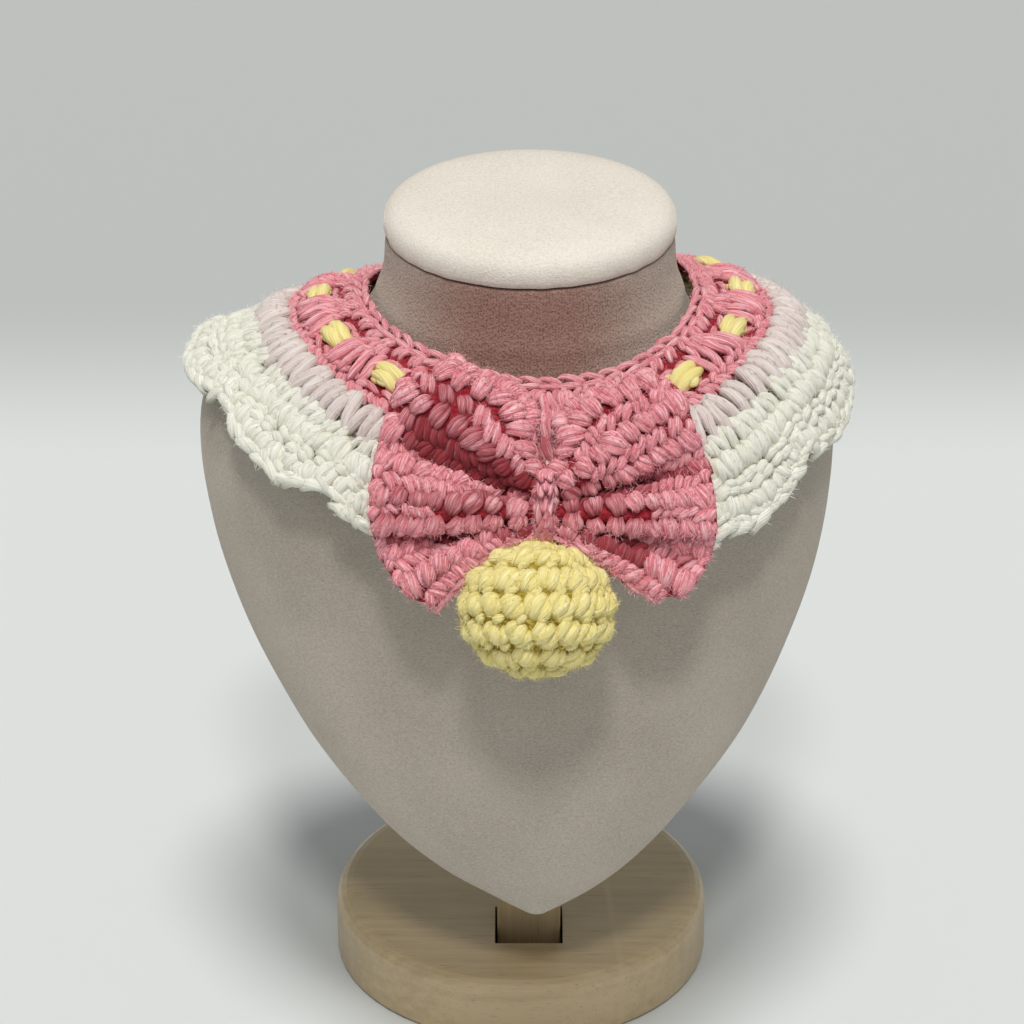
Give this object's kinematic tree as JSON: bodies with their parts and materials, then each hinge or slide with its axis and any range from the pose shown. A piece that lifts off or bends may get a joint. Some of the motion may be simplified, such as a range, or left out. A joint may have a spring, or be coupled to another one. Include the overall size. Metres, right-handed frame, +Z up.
{
  "type": "crocheted pet bib on a limbless display bust",
  "caption": "Crocheted pet bib collar with an eyelet band, drawstring, scalloped ruffle, bow and stuffed ball, lying round the neck of a padded display bust on a round wooden stand.",
  "frame": {"origin": "centre of the underside of the round base", "axes": "+Z up along the stand; -Y is the front, where the bow is; +X is the viewer's right"},
  "size_m": [0.1621, 0.1678, 0.2208],
  "materials": {
    "wood": "satin",
    "velvet": "short pile",
    "pink_yarn": "matte cotton yarn",
    "pale_yarn": "matte cotton yarn",
    "white_yarn": "matte cotton yarn",
    "yellow_yarn": "matte cotton yarn"
  },
  "bodies": {
    "root": {"stand_base": "wood", "stand_post": "wood", "bust": "velvet", "bust_cap": "velvet", "band_left": "pink_yarn", "band_right": "pink_yarn", "drawstring": "yellow_yarn", "post_row": "pale_yarn", "ruffle": "white_yarn", "bow_left": "pink_yarn", "bow_right": "pink_yarn", "bow_wrap": "pink_yarn", "ball": "yellow_yarn"}
  },
  "joints": []
}
